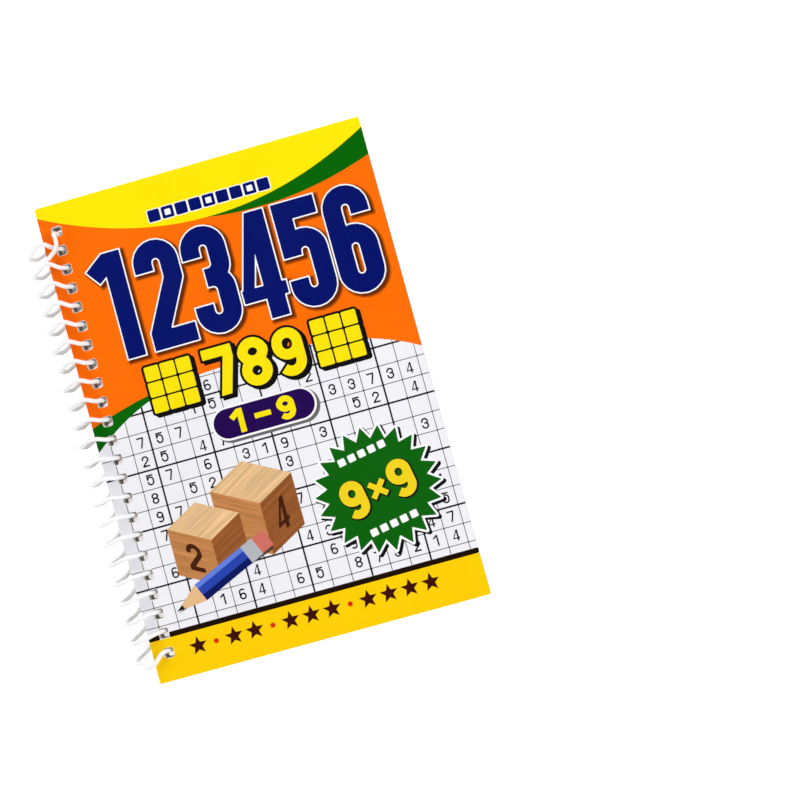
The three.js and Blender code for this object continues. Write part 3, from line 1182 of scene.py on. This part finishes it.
def coil_line(angle):
    """Wire centre at an angle about the coil axis, counted from the first pass at the foot.

    The wire circles the axis. It rises straight through the stack, swings sideways over the front
    by the square of a sine, stays beside its hole round the left, where turned sheets lie, and
    climbs to the next hole on the back strand by a cubic.
    """
    turn = 2 * math.pi
    last = HOLE_COUNT - 1
    turns = np.clip(np.floor((angle + CLEAR_ANGLE) / turn), 0, last)
    around = angle - turns * turn
    entry = lambda k: (k - last / 2) * HOLE_PITCH + np.where(k < last, HOLE_OFFSET, -HOLE_OFFSET)
    hole = (turns - last / 2) * HOLE_PITCH
    left = hole + LEFT_START[0] + (LEFT_START[1] - LEFT_START[0]) * smoothstep(turns / last, 0.0, 0.6)
    over = np.clip((around - CLEAR_ANGLE) / (math.pi - 2 * CLEAR_ANGLE), 0.0, 1.0)
    skewed = over ** np.where(turns == 0, 1.1, 1.0)
    swing = np.interp(turns, (0, 1, last), SWINGS) * np.sin(math.pi * skewed) ** 2
    front = entry(turns) + (left - entry(turns)) * smoothstep(over, 0.0, 1.0) + swing
    beside = np.clip((around - math.pi + CLEAR_ANGLE) / (2 * CLEAR_ANGLE), 0.0, 1.0)
    down = front + (hole + LEFT_END - left) * beside**2
    t = np.clip((around - math.pi - CLEAR_ANGLE) / (math.pi - 2 * CLEAR_ANGLE), 0.0, 1.0)
    climb = (entry(turns + 1) - down) * smoothstep(t, 0.0, 1.0) + CLIMB_START * t * (1 - t) ** 2
    y = down + climb
    return np.stack([COIL_RADIUS * np.cos(angle), y, COIL_RADIUS * np.sin(angle)], -1)


def smooth_route(points, steps):
    """A Catmull-Rom curve through points, steps to each span."""
    points = np.array(points, dtype=float)
    padded = np.concatenate([[2 * points[0] - points[1]], points, [2 * points[-1] - points[-2]]])
    t = (np.arange(steps) / steps)[:, None]
    spans = []
    for a, b, c, d in zip(padded[:-3], padded[1:-2], padded[2:-1], padded[3:]):
        square, cube = 2 * a - 5 * b + 4 * c - d, 3 * b - a - 3 * c + d
        spans.append(0.5 * (2 * b + (c - a) * t + square * t**2 + cube * t**3))
    return np.concatenate(spans + [points[-1:]])


def tube(route, radius, sides):
    """A round wire along a route, with half-round ends.

    Each ring stands square to the route, on a side vector carried from ring to ring. Past both
    ends further rings shrink as a quarter circle.
    """
    caps = np.radians(np.array([22.5, 45.0, 67.5, 85.0]))
    first = (route[0] - route[1]) / np.linalg.norm(route[0] - route[1])
    final = (route[-1] - route[-2]) / np.linalg.norm(route[-1] - route[-2])
    before = route[0] + np.sin(caps)[::-1, None] * radius * first
    after = route[-1] + np.sin(caps)[:, None] * radius * final
    line = np.concatenate([before, route, after])
    reach = np.concatenate([np.cos(caps)[::-1], np.ones(len(route)), np.cos(caps)]) * radius
    along = np.gradient(line, axis=0)
    along /= np.linalg.norm(along, axis=1, keepdims=True)
    side = np.zeros_like(line)
    carried = np.cross(along[0], (0.0, 1.0, 0.0))
    for k, direction in enumerate(along):
        carried = carried - direction * (carried @ direction)
        carried /= np.linalg.norm(carried)
        side[k] = carried
    across = np.cross(along, side)
    turn = 2 * math.pi * np.arange(sides) / sides
    ring = side[:, None] * np.cos(turn)[None, :, None] + across[:, None] * np.sin(turn)[None, :, None]
    points = (line[:, None] + ring * reach[:, None, None]).reshape(-1, 3)
    rows = np.arange(len(line) - 1)[:, None] * sides
    here = np.arange(sides)[None]
    there = (here + 1) % sides
    quads = np.stack([rows + here, rows + there, rows + sides + there, rows + sides + here], -1)
    start_cap = np.arange(sides)[::-1].tolist()
    end_cap = (np.arange(sides) + (len(line) - 1) * sides).tolist()
    return points, quads.reshape(-1, 4).tolist() + [start_cap, end_cap]


def build_coil():
    """The whole wire: the wound turns, then the end that is bent down over the cover at the head."""
    turn = 2 * math.pi
    angles = np.arange(-CLEAR_ANGLE, (HOLE_COUNT - 1) * turn + TAIL_START, turn / COIL_STEPS)
    wound = coil_line(angles)
    upwards = (wound[1] - wound[0]) / np.linalg.norm(wound[1] - wound[0])
    tail = smooth_route([wound[-1]] + TAIL, 10)[1:]
    route = np.concatenate([wound[0] - upwards * FOOT_RUN, wound, tail]) + HINGE * (1, 0, 1)
    points, faces = tube(route, WIRE_RADIUS, WIRE_SIDES)
    coil = piece("coil_wire", points, faces, coil_plastic(), "base", smooth=True)
    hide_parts("coil")


# Camera, floor and light

CAMERA_LENS = 70.0
CAMERA_AZIMUTH, CAMERA_ELEVATION, CAMERA_ROLL = 39.73, 85.99, -55.29
CAMERA_PLACE = (0.0634, 0.0015, 0.674)  # along the camera's own right, up and back, in metres


def build_camera():
    """A camera turned by azimuth, elevation and roll, its place given along its own axes."""
    az, el, roll = (math.radians(v) for v in (CAMERA_AZIMUTH, CAMERA_ELEVATION, CAMERA_ROLL))
    back = np.array([math.sin(az) * math.cos(el), -math.cos(az) * math.cos(el), math.sin(el)])
    right = np.array([math.cos(az), math.sin(az), 0.0])
    up = np.cross(back, right)
    x = math.cos(roll) * right + math.sin(roll) * up
    y = -math.sin(roll) * right + math.cos(roll) * up
    place = CAMERA_PLACE[0] * x + CAMERA_PLACE[1] * y + CAMERA_PLACE[2] * back
    data = bpy.data.cameras.new("camera")
    data.lens = CAMERA_LENS
    data.sensor_width = 36.0
    camera = bpy.data.objects.new("camera", data)
    camera.matrix_world = Matrix(np.vstack([np.column_stack([x, y, back, place]), (0, 0, 0, 1)]))
    bpy.context.scene.collection.objects.link(camera)
    bpy.context.scene.camera = camera


FLOOR_GLOW = 0.6
FLOOR_FADE = (0.22, 0.42)  # metres from the middle over which shadow gives way to plain white


def floor_material():
    """White paper floor, diffuse with a glow for the camera, so that only shadow darkens it.

    Away from the book it is plain white, by distance from the origin.
    """
    material = bpy.data.materials.new("floor_white")
    material.use_nodes = True
    tree = material.node_tree
    tree.nodes.clear()
    path = add(tree, "ShaderNodeLightPath")
    seen = combined(tree, "MAXIMUM", path.outputs["Is Camera Ray"], path.outputs["Is Glossy Ray"])
    seen = combined(tree, "MAXIMUM", seen, path.outputs["Is Transmission Ray"])
    glow = combined(tree, "MULTIPLY", seen, FLOOR_GLOW)
    shine = add(tree, "ShaderNodeEmission", {"Color": (1, 1, 1, 1), "Strength": glow})
    matt = add(tree, "ShaderNodeBsdfDiffuse", {"Color": (0.78, 0.78, 0.78, 1)})
    near = add(tree, "ShaderNodeAddShader", {0: matt.outputs[0], 1: shine.outputs[0]})
    far = add(tree, "ShaderNodeEmission", {"Color": (1, 1, 1, 1), "Strength": seen})
    place = add(tree, "ShaderNodeTexCoord").outputs["Object"]
    distance = add(tree, "ShaderNodeVectorMath", {0: place}, operation="LENGTH").outputs["Value"]
    inputs = {"Value": distance, "From Min": FLOOR_FADE[0], "From Max": FLOOR_FADE[1]}
    fade = add(tree, "ShaderNodeMapRange", inputs).outputs["Result"]
    both = add(tree, "ShaderNodeMixShader", {0: fade, 1: near.outputs[0], 2: far.outputs[0]})
    add(tree, "ShaderNodeOutputMaterial", {"Surface": both.outputs[0]})
    return material


FLOOR_REACH = 3.0
FLOOR_GAP = 0.02  # between the book and the floor


def build_floor():
    """A plane under the book, which rests on the coil and on the back cover's fore edge.

    The plane passes through the fore edge and touches the coil's underside, so it is tilted.
    """
    edge = np.array([BACK_HIGH[0], BACK_LOW[2]])
    offset = edge - HINGE[[0, 2]]
    outer = COIL_RADIUS + WIRE_RADIUS + FLOOR_GAP
    tilt = math.atan2(offset[1], offset[0]) + math.asin(outer / np.hypot(*offset))
    run = np.array([math.cos(tilt), 0.0, math.sin(tilt)]) * FLOOR_REACH
    middle = np.array([edge[0], 0.0, edge[1] - FLOOR_GAP]) * MM
    across = np.array([0.0, FLOOR_REACH, 0.0])
    near, far = middle - across, middle + across
    corners = [near - run, near + run, far + run, far - run]
    mesh = bpy.data.meshes.new("floor")
    mesh.from_pydata(corners, [], [(0, 1, 2, 3)])
    mesh.materials.append(floor_material())
    floor = bpy.data.objects.new("floor", mesh)
    bpy.context.scene.collection.objects.link(floor)


def area_lamp(name, place, size, power):
    """A square lamp that looks at the book."""
    data = bpy.data.lights.new(name, "AREA")
    data.size = size
    data.energy = power
    lamp = bpy.data.objects.new(name, data)
    lamp.location = place
    lamp.rotation_euler = (-Vector(place)).to_track_quat("-Z", "Y").to_euler()
    bpy.context.scene.collection.objects.link(lamp)


LAMP_SIZE = 1.3
LAMPS = [
    ("head", (0.0, 1.45, 1.0), 16.4),
    ("right", (1.45, 0.0, 1.0), 16.0),
    ("near", (0.0, -1.45, 1.0), 11.4),
    ("left", (-1.45, 0.0, 1.0), 11.4),
]
WORLD_LEVEL = 0.2


def build_light():
    """Four broad lamps low enough that the film doesn't mirror them upwards, and a dim even world."""
    for name, place, power in LAMPS:
        area_lamp(name, place, LAMP_SIZE, power)
    world = bpy.data.worlds.new("studio")
    bpy.context.scene.world = world
    world.use_nodes = True
    tree = world.node_tree
    tree.nodes.clear()
    seen = add(tree, "ShaderNodeLightPath").outputs["Is Camera Ray"]
    level = add(tree, "ShaderNodeMapRange", {"Value": seen, "To Min": WORLD_LEVEL, "To Max": 1.0})
    shine = add(tree, "ShaderNodeBackground", {"Color": (1, 1, 1, 1), "Strength": level.outputs[0]})
    add(tree, "ShaderNodeOutputWorld", {"Surface": shine.outputs[0]})
    bpy.context.scene.view_settings.view_transform = "Standard"


build_camera()
build_floor()
build_light()
build_back_cover()
build_leaves()
build_front_cover()
build_coil()
